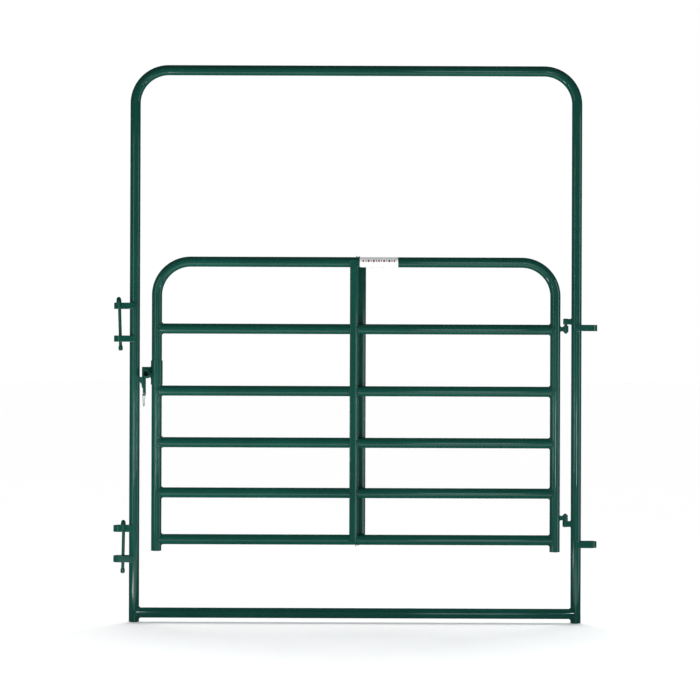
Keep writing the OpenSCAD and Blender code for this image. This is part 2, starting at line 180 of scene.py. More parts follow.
class GateStudioSettings(bpy.types.PropertyGroup):
    """Camera, lights and floor"""

    distance: length("Camera distance", "Distance from the gate's plane to the camera", 8.0)
    view_width: length("View width", "Width of the view at the gate's plane", 2.834)
    aim_left: length("Aim left", "How far left of the middle the camera aims", 0.0226)
    aim_z: length("Aim height", "Height at which the camera aims", 1.102)
    roll: angle("Roll", "Roll of the camera", math.radians(-0.2))
    near: amount("Near strip", "Power of the tall light by the camera", 13.0)
    strip: amount("Strip lights", "Power of each side strip in watts", 12.0)
    line: amount("Line lights", "Power of each light ahead of the posts", 4.0)
    low: amount("Low light", "Power of the light laid on the ground in front", 13.0)
    fill: amount("Fill light", "Power of the broad fill in watts", 20.0)
    sky: amount("Sky light", "Strength of the wide light from behind", 4.4)
    cool: colour("Cool light", "Tint of the upright lights", (0.82, 0.95, 1.0))
    floor: colour("Floor", "Colour of the floor", (0.86, 0.86, 0.86))
    glow: amount("Floor glow", "Light that the floor gives by itself", 0.18)
    surround: amount("Surround", "Light from all round", 0.05)


# ---- node trees ----


class Wiring:
    """Adds nodes to a tree, and sets or links their inputs by name."""

    def __init__(self, tree):
        self.tree = tree

    def add(self, kind, inputs=None, **settings):
        """Adds a node. An input's value is a socket to link from or a plain value."""
        node = self.tree.nodes.new(kind)
        for name, value in settings.items():
            setattr(node, name, value)
        for key, value in (inputs or {}).items():
            self.feed(node.inputs[key], value)
        return node

    def feed(self, socket, value):
        """Links a socket to the value, or sets it."""
        if isinstance(value, bpy.types.NodeSocket):
            self.tree.links.new(value, socket)
        else:
            socket.default_value = value

    def maths(self, operation, *values, clamp=False):
        """The output of a Math node."""
        node = self.add("ShaderNodeMath", operation=operation, use_clamp=clamp)
        for socket, value in zip(node.inputs, values):
            self.feed(socket, value)
        return node.outputs[0]

    def remap(self, value, low, high, to_low=0.0, to_high=1.0):
        """Value carried from one range to another, and held there."""
        node = self.add("ShaderNodeMapRange", {"Value": value, "From Min": low, "From Max": high})
        self.feed(node.inputs["To Min"], to_low)
        self.feed(node.inputs["To Max"], to_high)
        return node.outputs["Result"]

    def blend(self, share, first, second):
        """Colour between first, at a share of 0, and second, at 1."""
        node = self.add("ShaderNodeMix", data_type="RGBA")
        self.feed(node.inputs[0], share)
        self.feed(node.inputs[6], first)
        self.feed(node.inputs[7], second)
        return node.outputs[2]


def new_tree(name, kind, inputs, outputs):
    """A node group with named sockets, its wiring, and its input and output nodes."""
    tree = bpy.data.node_groups.new(name, kind)
    for label, socket_type in inputs:
        tree.interface.new_socket(label, in_out="INPUT", socket_type=socket_type)
    for label, socket_type in outputs:
        tree.interface.new_socket(label, in_out="OUTPUT", socket_type=socket_type)
    wiring = Wiring(tree)
    return wiring, wiring.add("NodeGroupInput").outputs, wiring.add("NodeGroupOutput").inputs


def close_shape(wiring, geometry, material, outlet):
    """Ends a shape's tree: smooth shading, real geometry and its material."""
    smooth = wiring.add("GeometryNodeSetShadeSmooth", {"Geometry": geometry})
    real = wiring.add("GeometryNodeRealizeInstances", {"Geometry": smooth.outputs[0]})
    painted = wiring.add("GeometryNodeSetMaterial", {"Geometry": real.outputs[0], "Material": material})
    wiring.feed(outlet, painted.outputs[0])


def swept_tube_tree():
    """Round tube along a path."""
    wiring, given, outlet = new_tree(
        "Swept tube",
        "GeometryNodeTree",
        [
            ("Path", "NodeSocketGeometry"),
            ("Diameter", "NodeSocketFloat"),
            ("Sides", "NodeSocketInt"),
            ("Material", "NodeSocketMaterial"),
        ],
        [("Tube", "NodeSocketGeometry")],
    )
    radius = wiring.maths("MULTIPLY", given["Diameter"], 0.5)
    ring = wiring.add("GeometryNodeCurvePrimitiveCircle", {"Resolution": given["Sides"], "Radius": radius})
    sweep = wiring.add(
        "GeometryNodeCurveToMesh",
        {"Curve": given["Path"], "Profile Curve": ring.outputs["Curve"], "Scale": 1.0, "Fill Caps": False},
    )
    close_shape(wiring, sweep.outputs["Mesh"], given["Material"], outlet["Tube"])
    return wiring.tree


def coped_tube_tree():
    """Tube along X at each point, its ends coped to upright tubes of the same diameter."""
    wiring, given, outlet = new_tree(
        "Coped tubes",
        "GeometryNodeTree",
        [
            ("Centres", "NodeSocketGeometry"),
            ("Span", "NodeSocketFloat"),
            ("Diameter", "NodeSocketFloat"),
            ("Root Gap", "NodeSocketFloat"),
            ("Sides", "NodeSocketInt"),
            ("Material", "NodeSocketMaterial"),
        ],
        [("Tubes", "NodeSocketGeometry")],
    )
    radius = wiring.maths("MULTIPLY", given["Diameter"], 0.5)
    tube = wiring.add(
        "GeometryNodeMeshCylinder",
        {"Vertices": given["Sides"], "Radius": radius, "Depth": given["Span"]},
        fill_type="NONE",
    )
    laid = wiring.add(
        "GeometryNodeTransform", {"Geometry": tube.outputs["Mesh"], "Rotation": (0.0, math.pi / 2, 0.0)}
    )
    position = wiring.add("GeometryNodeInputPosition").outputs[0]
    place = wiring.add("ShaderNodeSeparateXYZ", {"Vector": position})
    # The cope follows the upright's surface: half the span less the root of r squared minus y squared
    reach = wiring.maths("ADD", radius, given["Root Gap"])
    reach_squared = wiring.maths("POWER", reach, 2.0)
    y_squared = wiring.maths("POWER", place.outputs["Y"], 2.0)
    depth = wiring.maths("SQRT", wiring.maths("SUBTRACT", reach_squared, y_squared))
    half = wiring.maths("SUBTRACT", wiring.maths("MULTIPLY", given["Span"], 0.5), depth)
    along = wiring.maths("MULTIPLY", wiring.maths("SIGN", place.outputs["X"]), half)
    moved = wiring.add("ShaderNodeCombineXYZ", {"X": along, "Y": place.outputs["Y"], "Z": place.outputs["Z"]})
    coped = wiring.add("GeometryNodeSetPosition", {"Geometry": laid.outputs[0], "Position": moved.outputs[0]})
    copies = {"Points": given["Centres"], "Instance": coped.outputs[0]}
    row = wiring.add("GeometryNodeInstanceOnPoints", copies)
    close_shape(wiring, row.outputs[0], given["Material"], outlet["Tubes"])
    return wiring.tree


def weld_bead_tree():
    """Rippled bead along each path. A path's own radius widens or narrows its bead."""
    wiring, given, outlet = new_tree(
        "Weld beads",
        "GeometryNodeTree",
        [
            ("Paths", "NodeSocketGeometry"),
            ("Bead Radius", "NodeSocketFloat"),
            ("Ripple Pitch", "NodeSocketFloat"),
            ("Ripple", "NodeSocketFloat"),
            ("Seed", "NodeSocketInt"),
            ("Material", "NodeSocketMaterial"),
        ],
        [("Beads", "NodeSocketGeometry")],
    )
    steps_per_ripple, bead_sides, lump_scale = 5.0, 9, 130.0
    spacing = wiring.maths("DIVIDE", given["Ripple Pitch"], steps_per_ripple)
    stepped = {"Curve": given["Paths"], "Length": spacing}
    path = wiring.add("GeometryNodeResampleCurve", stepped, mode="LENGTH")
    along = wiring.add("GeometryNodeSplineParameter").outputs["Length"]
    whole = wiring.add("GeometryNodeSplineLength").outputs["Length"]
    closed = wiring.add("GeometryNodeInputSplineCyclic").outputs["Cyclic"]
    turn = wiring.maths("MULTIPLY", wiring.maths("DIVIDE", along, given["Ripple Pitch"]), math.tau)
    dip = wiring.maths("MULTIPLY", wiring.maths("COSINE", turn), given["Ripple"])
    lumps = wiring.add(
        "ShaderNodeTexNoise", {"W": given["Seed"], "Scale": lump_scale, "Detail": 1.0}, noise_dimensions="4D"
    )
    uneven = wiring.remap(lumps.outputs[0], 0.25, 0.75, 0.84, 1.12)
    body = wiring.maths("MULTIPLY", wiring.maths("SUBTRACT", uneven, dip), given["Bead Radius"])
    own = wiring.maths("MULTIPLY", body, wiring.add("GeometryNodeInputRadius").outputs[0])
    # An open bead rounds off over its own radius at both ends
    to_end = wiring.maths("MINIMUM", along, wiring.maths("SUBTRACT", whole, along))
    near = wiring.maths("SUBTRACT", 1.0, wiring.maths("DIVIDE", to_end, given["Bead Radius"], clamp=True))
    dome = wiring.maths("SQRT", wiring.maths("SUBTRACT", 1.0, wiring.maths("POWER", near, 2.0), clamp=True))
    taper = wiring.maths("MAXIMUM", wiring.maths("MAXIMUM", dome, 0.12), closed)
    ring = wiring.add("GeometryNodeCurvePrimitiveCircle", {"Resolution": bead_sides, "Radius": 1.0})
    sweep = wiring.add(
        "GeometryNodeCurveToMesh",
        {
            "Curve": path.outputs[0],
            "Profile Curve": ring.outputs["Curve"],
            "Scale": wiring.maths("MULTIPLY", own, taper),
            "Fill Caps": True,
        },
    )
    close_shape(wiring, sweep.outputs["Mesh"], given["Material"], outlet["Beads"])
    return wiring.tree


# ---- finishes ----


def paint_film_group():
    """Colour, roughness and relief of a sprayed coat: orange peel, slow drift, dust nibs and thin edges."""
    wiring, given, outlet = new_tree(
        "Paint film",
        "ShaderNodeTree",
        [
            ("Colour", "NodeSocketColor"),
            ("Thin Colour", "NodeSocketColor"),
            ("Peel Size", "NodeSocketFloat"),
            ("Gloss", "NodeSocketFloat"),
        ],
        [("Colour", "NodeSocketColor"), ("Roughness", "NodeSocketFloat"), ("Height", "NodeSocketFloat")],
    )
    drift_scale, nib_scale, fray_scale, nib_rarity = 2.6, 170.0, 420.0, 0.93
    place = wiring.add("ShaderNodeTexCoord").outputs["Object"]
    peel_scale = wiring.maths("DIVIDE", 1.0, given["Peel Size"])
    peel = wiring.add(
        "ShaderNodeTexNoise",
        {"Vector": place, "Scale": peel_scale, "Detail": 2.0, "Roughness": 0.45},
    )
    drift = wiring.add("ShaderNodeTexNoise", {"Vector": place, "Scale": drift_scale, "Detail": 4.0})
    nibs = wiring.add("ShaderNodeTexVoronoi", {"Vector": place, "Scale": nib_scale})
    draw = wiring.add("ShaderNodeSeparateColor", {"Color": nibs.outputs["Color"]}).outputs[0]
    rare = wiring.maths("GREATER_THAN", draw, nib_rarity)
    nib = wiring.maths("MULTIPLY", wiring.remap(nibs.outputs["Distance"], 0.0, 0.16, 1.0, 0.0), rare)
    # Enamel draws back from the cut edges, which the face attribute named edge marks
    fray = wiring.add("ShaderNodeTexNoise", {"Vector": place, "Scale": fray_scale, "Detail": 3.0})
    marked = wiring.add("ShaderNodeAttribute", attribute_name="edge").outputs["Fac"]
    thin = wiring.maths("MULTIPLY", marked, wiring.remap(fray.outputs[0], 0.42, 0.62, 0.1, 0.75))
    shade = wiring.remap(drift.outputs[0], 0.3, 0.7, 0.86, 1.16)
    scaled = {0: given["Colour"], "Scale": shade}
    toned = wiring.add("ShaderNodeVectorMath", scaled, operation="SCALE")
    wiring.feed(outlet["Colour"], wiring.blend(thin, toned.outputs[0], given["Thin Colour"]))
    uneven = wiring.remap(drift.outputs[0], 0.3, 0.7, -0.02, 0.04)
    wiring.feed(outlet["Roughness"], wiring.maths("ADD", given["Gloss"], uneven, clamp=True))
    wiring.feed(outlet["Height"], wiring.maths("ADD", peel.outputs[0], wiring.maths("MULTIPLY", nib, 1.5)))
    return wiring.tree


def new_material(name):
    """A material, its wiring and its Principled shader."""
    material = bpy.data.materials.new(name)
    material.use_nodes = True
    return material, Wiring(material.node_tree), material.node_tree.nodes["Principled BSDF"]


def group_of(name, make):
    """The node group of that name, made the first time it is asked for."""
    return bpy.data.node_groups.get(name) or make()


def enamel(name="Enamel", relief=0.000006, gloss=0.07):
    """Glossy dark green enamel, sprayed over steel."""
    found = bpy.data.materials.get(name)
    if found:
        return found
    finish = bpy.context.scene.gate_finish
    material, wiring, shader = new_material(name)
    film = wiring.add("ShaderNodeGroup", node_tree=group_of("Paint film", paint_film_group))
    wiring.feed(film.inputs["Colour"], (*finish.enamel, 1))
    wiring.feed(film.inputs["Thin Colour"], (*finish.thin, 1))
    wiring.feed(film.inputs["Peel Size"], finish.peel)
    wiring.feed(film.inputs["Gloss"], gloss)
    raised = {"Height": film.outputs["Height"], "Distance": relief, "Strength": 1.0}
    bump = wiring.add("ShaderNodeBump", raised)
    wiring.feed(shader.inputs["Base Color"], film.outputs["Colour"])
    wiring.feed(shader.inputs["Roughness"], film.outputs["Roughness"])
    wiring.feed(shader.inputs["Normal"], bump.outputs["Normal"])
    shader.inputs["IOR"].default_value = 1.52
    return material


def crowned_enamel(name="Crowned enamel", half_flat=0.015, crown=0.0006):
    """Enamel over the brace, whose two flats crown slightly between their folds."""
    found = bpy.data.materials.get(name)
    if found:
        return found
    material = enamel(name)
    wiring = Wiring(material.node_tree)
    shader = material.node_tree.nodes["Principled BSDF"]
    place = wiring.add("ShaderNodeTexCoord").outputs["Object"]
    across = wiring.add("ShaderNodeSeparateXYZ", {"Vector": place}).outputs["X"]
    from_web = wiring.maths("ABSOLUTE", wiring.maths("SUBTRACT", across, BRACE.x))
    offset = wiring.maths("DIVIDE", wiring.maths("SUBTRACT", from_web, half_flat), half_flat)
    dome = wiring.maths("MULTIPLY", wiring.maths("MULTIPLY", offset, offset), -crown)
    fine = shader.inputs["Normal"].links[0].from_socket
    bump = wiring.add("ShaderNodeBump", {"Height": dome, "Distance": 1.0, "Strength": 1.0, "Normal": fine})
    wiring.feed(shader.inputs["Normal"], bump.outputs["Normal"])
    return material


def plated_wire():
    """Bright zinc on drawn wire, with faint draw lines and a mottled passivation."""
    finish = bpy.context.scene.gate_finish
    material, wiring, shader = new_material("Plated wire")
    mottle_scale, line_scale, dull_share = 260.0, 900.0, 0.72
    place = wiring.add("ShaderNodeTexCoord").outputs["Object"]
    mottle = wiring.add("ShaderNodeTexNoise", {"Vector": place, "Scale": mottle_scale, "Detail": 3.0})
    stretch = wiring.add("ShaderNodeMapping", {"Vector": place, "Scale": (1.0, 1.0, 0.06)})
    drawn = {"Vector": stretch.outputs[0], "Scale": line_scale, "Detail": 2.0}
    lines = wiring.add("ShaderNodeTexNoise", drawn)
    dull = tuple(dull_share * value for value in finish.zinc)
    wiring.feed(
        shader.inputs["Base Color"],
        wiring.blend(wiring.remap(mottle.outputs[0], 0.35, 0.7), (*finish.zinc, 1), (*dull, 1)),
    )
    wiring.feed(shader.inputs["Roughness"], wiring.remap(mottle.outputs[0], 0.3, 0.7, 0.24, 0.42))
    bump = wiring.add("ShaderNodeBump", {"Height": lines.outputs[0], "Distance": 0.00004, "Strength": 0.6})
    wiring.feed(shader.inputs["Normal"], bump.outputs["Normal"])
    shader.inputs["Metallic"].default_value = 1.0
    return material


def printed_film():
    """White film with a printed row of plain bars and dots and a thin rule under it."""
    finish = bpy.context.scene.gate_finish
    material, wiring, shader = new_material("Printed film")
    mark_count, fine_scale, middle_across = 13.0, 1500.0, 0.5
    row_up, row_half, row_reach = 0.58, 0.08, 0.44
    rule_up, rule_half, rule_reach = 0.36, 0.012, 0.3
    bar_half, dot_half, rule_share, dull_share = 0.34, 0.16, 0.55, 0.93
    flat = wiring.add("ShaderNodeUVMap", uv_map="label").outputs[0]
    place = wiring.add("ShaderNodeSeparateXYZ", {"Vector": flat})
    across, up = place.outputs["X"], place.outputs["Y"]

    def within(value, centre, half):
        """1 where the value is nearer to the centre than half, else 0."""
        apart = wiring.maths("ABSOLUTE", wiring.maths("SUBTRACT", value, centre))
        return wiring.maths("LESS_THAN", apart, half)

    margin = middle_across - row_reach
    cell = wiring.maths("MULTIPLY", wiring.remap(across, margin, 1.0 - margin), mark_count)
    number = wiring.maths("FLOOR", cell)
    every_other = wiring.maths("MODULO", number, 2.0)
    half_mark = wiring.remap(every_other, 0.0, 1.0, bar_half, dot_half)
    in_cell = within(wiring.maths("FRACT", cell), 0.5, half_mark)
    bar = wiring.maths("MULTIPLY", in_cell, within(up, row_up, row_half))
    marks = wiring.maths("MULTIPLY", bar, within(across, middle_across, row_reach))
    rule_across = within(across, middle_across, rule_reach)
    rule = wiring.maths("MULTIPLY", within(up, rule_up, rule_half), rule_across)
    warm = wiring.maths("LESS_THAN", wiring.maths("MODULO", number, 3.0), 0.5)
    ink = wiring.blend(warm, (*finish.print_dark, 1), (*finish.print_warm, 1))
    printed = wiring.maths("MAXIMUM", marks, wiring.maths("MULTIPLY", rule, rule_share))
    grain = wiring.add(
        "ShaderNodeTexNoise",
        {"Vector": wiring.add("ShaderNodeTexCoord").outputs["Object"], "Scale": fine_scale, "Detail": 2.0},
    )
    dull_film = tuple(dull_share * value for value in finish.film)
    paper = wiring.blend(wiring.remap(grain.outputs[0], 0.3, 0.7), (*finish.film, 1), (*dull_film, 1))
    wiring.feed(shader.inputs["Base Color"], wiring.blend(printed, paper, ink))
    wiring.feed(shader.inputs["Roughness"], wiring.remap(printed, 0.0, 1.0, 0.3, 0.42))
    bump = wiring.add("ShaderNodeBump", {"Height": grain.outputs[0], "Distance": 0.00002, "Strength": 0.5})
    wiring.feed(shader.inputs["Normal"], bump.outputs["Normal"])
    return material


# ---- shared steps ----


def show(name, mesh, body, slot, *nodes):
    """Makes a mesh a piece that rides on a body, in place of the CAD nodes named."""
    mesh.name = name
    piece = bpy.data.objects.new(name, mesh)
    bpy.context.scene.collection.objects.link(piece)
    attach(piece, body)
    if nodes:
        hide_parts(*nodes)
    return piece


def baked_mesh(data, prepare):
    """The mesh that a throwaway object on this data gives after prepare has set its modifiers."""
    holder = bpy.data.objects.new("holder", data)
    bpy.context.scene.collection.objects.link(holder)
    prepare(holder)
    bpy.context.view_layer.update()
    evaluated = holder.evaluated_get(bpy.context.evaluated_depsgraph_get())
    mesh = bpy.data.meshes.new_from_object(evaluated)
    holder.modifiers.clear()
    bpy.data.objects.remove(holder)
    return mesh


def grown(tree, data, values):
    """Plain mesh that a node tree makes from this data with these named values."""

    def prepare(holder):
        modifier = holder.modifiers.new(tree.name, "NODES")
        modifier.node_group = tree
        for socket in tree.interface.items_tree:
            if socket.item_type == "SOCKET" and socket.in_out == "INPUT" and socket.name in values:
                modifier[socket.identifier] = values[socket.name]

    return baked_mesh(data, prepare)


def walled(mesh, wall):
    """The same open tube with its wall, added on the inside."""

    def prepare(holder):
        modifier = holder.modifiers.new("Wall", "SOLIDIFY")
        modifier.thickness = wall
        modifier.offset = -1

    thick = baked_mesh(mesh, prepare)
    thick.set_sharp_from_angle(angle=math.radians(40))
    return thick


def lines_curve(lines):
    """Curve of one straight-sided spline for each (points, closed, radius)."""
    curve = bpy.data.curves.new("lines", "CURVE")
    curve.dimensions = "3D"
    for points, closed, radius in lines:
        spline = curve.splines.new("POLY")
        spline.points.add(len(points) - 1)
        spline.use_cyclic_u = closed
        for knot, place in zip(spline.points, points):
            knot.co = (*place, 1)
            knot.radius = radius
    return curve


def softened(node, width):
    """Merged copy of a CAD node's mesh with rounded edges. Its face attribute edge marks them."""
    merge_gap = 1e-5
    flat_angle, fold_angle, crease_angle = math.radians(0.6), math.radians(30), math.radians(42)
    shape = bmesh.new()
    shape.from_mesh(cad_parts[node].data)
    mark = shape.faces.layers.float.new("edge")
    bmesh.ops.remove_doubles(shape, verts=shape.verts, dist=merge_gap)
    bmesh.ops.dissolve_limit(shape, angle_limit=flat_angle, verts=shape.verts, edges=shape.edges)
    sharp = [edge for edge in shape.edges if edge.is_manifold and edge.calc_face_angle() > fold_angle]
    rounded = bmesh.ops.bevel(
        shape,
        geom=sharp,
        offset=width,
        offset_type="OFFSET",
        segments=3,
        profile=0.5,
        affect="EDGES",
        clamp_overlap=True,
    )
    for face in rounded["faces"]:
        face[mark] = 1.0
    mesh = bpy.data.meshes.new(node)
    shape.to_mesh(mesh)
    shape.free()
    mesh.shade_smooth()
    mesh.set_sharp_from_angle(angle=crease_angle)
    return mesh


def show_softened(names, body, material, slot, width):
    """Shows each CAD node as a softened copy of itself."""
    for node in names:
        mesh = softened(node, width)
        mesh.materials.clear()
        mesh.materials.append(material)
        piece = show(f"{node}_finished", mesh, body, slot, node)
        weigh = piece.modifiers.new("Flat faces", "WEIGHTED_NORMAL")
        weigh.keep_sharp = True


def finish_nodes(names, material):
    """Puts a finish on CAD nodes whose shape is right as it is."""
    for node in names:
        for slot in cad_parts[node].material_slots:
            slot.material = material


def arc(centre, radius, start, stop, steps):
    """Points of an arc in the XZ plane, from the angle start to stop, in radians."""
    turns = [start + (stop - start) * step / steps for step in range(steps + 1)]
    return [(centre[0] + radius * math.cos(turn), 0.0, centre[1] + radius * math.sin(turn)) for turn in turns]


def bow_path(middle_x, half, foot, top, bend, steps):
    """Centreline of a tube bent twice: up one leg, across the top and down the other."""
    left, right = middle_x - half, middle_x + half
    path = [(left, 0.0, foot)]
    path += arc((left + bend, top - bend), bend, math.pi, math.pi / 2, steps)
    path += arc((right - bend, top - bend), bend, math.pi / 2, 0.0, steps)
    return path + [(right, 0.0, foot)]


# ---- weld paths ----


def cope_line(upright_x, side, z, radius):
    """Round the end of a cross tube where it meets an upright. side is 1 if the tube runs to +X."""
    steps, flank = 72, 0.0042
    line = []
    for step in range(steps):
        turn = math.tau * step / steps
        y, rise = TUBE_R * math.sin(turn), TUBE_R * math.cos(turn)
        line.append((upright_x + side * math.sqrt(TUBE_R**2 - y**2 + flank**2), y, z + rise))
    return line, True, radius


def patch_line(axis_x, side, surface_r, y_range, z_range, radius=1.0):
    """Round a block that stands on the side of an upright tube, along its outline."""
    (y0, y1), (z0, z1), steps = y_range, z_range, 8
    outline = [(y0 + (y1 - y0) * step / steps, z0) for step in range(steps)]
    outline += [(y1, z0 + (z1 - z0) * step / steps) for step in range(steps)]
    outline += [(y1 + (y0 - y1) * step / steps, z1) for step in range(steps)]
    outline += [(y0, z1 + (z0 - z1) * step / steps) for step in range(steps)]
    return [(axis_x + side * math.sqrt(surface_r**2 - y**2), y, z) for y, z in outline], True, radius


def ring_line(centre, radius, axis, bead=1.0):
    """Circle about a centre, square to the axis X, Y or Z."""
    steps, turn_of = 48, {"X": (1, 2), "Y": (0, 2), "Z": (0, 1)}[axis]
    line = []
    for step in range(steps):
        turn = math.tau * step / steps
        point = list(centre)
        point[turn_of[0]] += radius * math.cos(turn)
        point[turn_of[1]] += radius * math.sin(turn)
        line.append(tuple(point))
    return line, True, bead


def straight_line(start, end, bead=1.0):
    """Short open bead from start to end."""
    return [tuple(Vector(start).lerp(Vector(end), step / 4)) for step in range(5)], False, bead


def crossing_lines(z):
    """The beads that hold the brace to one of the leaf's cross tubes."""
    web, half_sheet = BRACE.x, 0.0012
    lip_half, lip_sunk, lip_share = 0.007, 0.0014, 1.25
    tack_in, tack_out, tack_rise, tack_sunk, tack_share = 0.0035, 0.008, 0.0015, 0.0009, 1.5
    lines = [ring_line((web + side * half_sheet, 0, z), TUBE_R, "X") for side in (-1, 1)]
    for turn in (-1, 1):
        edge_x, face_y = web + turn * BRACE_HALF.x, turn * (BRACE_HALF.y - lip_sunk)
        lip = ((edge_x, face_y, z - lip_half), (edge_x, face_y, z + lip_half))
        lines.append(straight_line(*lip, lip_share))
        tack_y = turn * (BRACE_HALF.y - tack_sunk)
        for end in (-1, 1):
            tack_z = z + end * (TUBE_R + tack_rise)
            tack = [(web + turn * reach, tack_y, tack_z) for reach in (tack_in, tack_out)]
            lines.append(straight_line(*tack, tack_share))
    return lines


def loop_lines(node, side):
    """The beads along both legs of a connector loop, where they meet their post."""
    sunk, past, leg_in, leg_out, margin = 0.0012, 0.0078, 0.0004, 0.0032, 0.003
    round_share, edge_share = 0.85, 0.8
    low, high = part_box(node)[0].z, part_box(node)[1].z
    near, far = side * (POST_X - sunk), side * (POST_X + past)
    lines = []
    for leg in (-1, 1):
        near_y, far_y = leg * (TUBE_R + leg_in), leg * (TUBE_R + leg_in - sunk)
        corners = [(near, near_y, low), (far, far_y, low), (far, far_y, high), (near, near_y, high)]
        sides = zip(corners, corners[1:] + corners[:1])
        line = [tuple(Vector(a).lerp(Vector(b), step / 5)) for a, b in sides for step in range(5)]
        lines.append((line, True, round_share))
        outer_y = leg * (TUBE_R + leg_out)
        edge = ((near, outer_y, low + margin), (near, outer_y, high - margin))
        lines.append(straight_line(*edge, edge_share))
    return lines


def block_ranges(node):
    """Y and Z ranges of a CAD node's box."""
    low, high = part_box(node)
    return (low.y, high.y), (low.z, high.z)


# ---- operators ----


class GATE_OT_studio(bpy.types.Operator):
    """Makes the pale floor, the soft lights and the camera"""

    bl_idname = "gate.studio"
    bl_label = "Studio"

    def execute(self, context):
        studio = context.scene.gate_studio
        context.scene.view_settings.view_transform = "Standard"
        self.make_floor(context, studio)
        self.make_surround(context, studio)
        cool, white, left_share = studio.cool, (1.0, 1.0, 1.0), 0.8
        left_low = left_share * studio.low
        line_x, line_y, line_z, line_size = 1.135, -2.0, 0.64, (0.06, 0.44)
        # Each light: its name, place, aim, width and height, power and tint
        lights = (
            ("near_strip", (0.9, -7.0, 0.1), (0, 0, 0.6), (0.8, 2.6), studio.near, cool),
            ("left_strip", (-2.4, -2.4, 1.2), (0, 0, 1.2), (0.3, 2.2), left_share * studio.strip, cool),
            ("right_strip", (2.7, -0.7, 1.1), (0, 0, 1.1), (0.5, 2.4), studio.strip, cool),
            ("left_line", (-line_x, line_y, line_z), (-line_x, 0, line_z), line_size, studio.line, cool),
            ("right_line", (line_x, line_y, line_z), (line_x, 0, line_z), line_size, studio.line, cool),
            ("low_light", (0, -1.25, 0.01), (0, -1.25, 1), (3.4, 1.5), studio.low, white),
            ("left_low_light", (-1.2, -1.1, 0.02), (-1.2, -1.1, 1), (0.5, 0.9), left_low, white),
            ("fill_light", (0, -3.2, 0.9), (0, 0, 0.9), (3.0, 1.6), studio.fill, white),
        )
        made = [self.make_light(context, *row) for row in lights]
        # The broad fill isn't mirrored in the enamel
        made[-1].visible_glossy = False
        self.make_sky(context, studio)
        self.make_camera(context, studio)
        return {"FINISHED"}

    def make_floor(self, context, studio):
        """A wide round floor that glows a little, so that it stays pale to the horizon."""
        floor_r, cloth_scale, pale_share = 60.0, 40.0, 0.985
        mesh = bpy.data.meshes.new("floor")
        shape = bmesh.new()
        bmesh.ops.create_circle(shape, cap_ends=True, segments=96, radius=floor_r)
        shape.to_mesh(mesh)
        shape.free()
        material, wiring, shader = new_material("Floor")
        cloth = wiring.add("ShaderNodeTexNoise", {"Scale": cloth_scale, "Detail": 3.0})
        pale = tuple(pale_share * value for value in studio.floor)
        wiring.feed(
            shader.inputs["Base Color"],
            wiring.blend(cloth.outputs[0], (*studio.floor, 1), (*pale, 1)),
        )
        shader.inputs["Roughness"].default_value = 0.9
        shader.inputs["Specular IOR Level"].default_value = 0.0
        shader.inputs["Emission Color"].default_value = (1, 1, 1, 1)
        shader.inputs["Emission Strength"].default_value = studio.glow
        mesh.materials.append(material)
        floor = bpy.data.objects.new("floor", mesh)
        context.scene.collection.objects.link(floor)
        floor.visible_glossy = False

    def make_surround(self, context, studio):
        """White to look at, and a dimmer grey for what it lights."""
        world = bpy.data.worlds.new("Surround")
        context.scene.world = world
        world.use_nodes = True
        wiring = Wiring(world.node_tree)
        seen = wiring.add("ShaderNodeLightPath").outputs["Is Camera Ray"]
        strength = wiring.remap(seen, 0.0, 1.0, studio.surround, 1.0)
        wiring.feed(world.node_tree.nodes["Background"].inputs["Color"], (1, 1, 1, 1))
        wiring.feed(world.node_tree.nodes["Background"].inputs["Strength"], strength)

    def make_light(self, context, name, place, aim, size, power, tint):
        """A rectangular softbox that faces aim."""
        lamp = bpy.data.lights.new(name, "AREA")
        lamp.shape = "RECTANGLE"
        lamp.size, lamp.size_y = size
        lamp.energy = power
        lamp.color = tint
        light = bpy.data.objects.new(name, lamp)
        light.location = place
        light.rotation_mode = "QUATERNION"
        light.rotation_quaternion = (Vector(aim) - Vector(place)).to_track_quat("-Z", "Y")
        light.visible_camera = False
        context.scene.collection.objects.link(light)
        return light

    def make_sky(self, context, studio):
        """A very wide light, high behind the gate, so that the shadows fall softly to the front."""
        spread, lean = math.radians(70), math.radians(-50)
        lamp = bpy.data.lights.new("sky_light", "SUN")
        lamp.energy = studio.sky
        lamp.angle = spread
        light = bpy.data.objects.new("sky_light", lamp)
        light.rotation_euler = (lean, 0, 0)
        light.visible_glossy = False
        context.scene.collection.objects.link(light)

    def make_camera(self, context, studio):
        """Level camera square to the gate."""
        lens = bpy.data.cameras.new("camera")
        lens.sensor_width = 36.0
        lens.lens = lens.sensor_width * studio.distance / studio.view_width
        lens.clip_end = 200.0
        camera = bpy.data.objects.new("camera", lens)
        place = Matrix.Translation((-studio.aim_left, -studio.distance, studio.aim_z))
        level = Matrix.Rotation(math.pi / 2, 4, "X")
        camera.matrix_world = place @ Matrix.Rotation(studio.roll, 4, "Y") @ level
        context.scene.collection.objects.link(camera)
        context.scene.camera = camera


class GATE_OT_bent_tubes(bpy.types.Operator):
    """Sweeps the arch of the frame and the arch of the leaf"""

    bl_idname = "gate.bent_tubes"
    bl_label = "Bent tubes"

    def execute(self, context):
        tube = context.scene.gate_tube
        tree = group_of("Swept tube", swept_tube_tree)
        half_leaf = (STILE_X[1] - STILE_X[0]) / 2
        frame_path = bow_path(0.0, POST_X, 0.0, FRAME_TOP, tube.frame_bend, tube.bend_steps)
        leaf_path = bow_path(LEAF_MID, half_leaf, LEAF_FOOT, LEAF_TOP, tube.leaf_bend, tube.bend_steps)
        for node, body, path in (("frame_bow", "frame", frame_path), ("leaf_bow", "leaf", leaf_path)):
            values = {"Diameter": tube.diameter, "Sides": tube.sides, "Material": enamel()}
            mesh = grown(tree, lines_curve([(path, False, 1.0)]), values)
            show(f"{node}_tube", walled(mesh, tube.wall), body, ENAMEL, node)
        return {"FINISHED"}


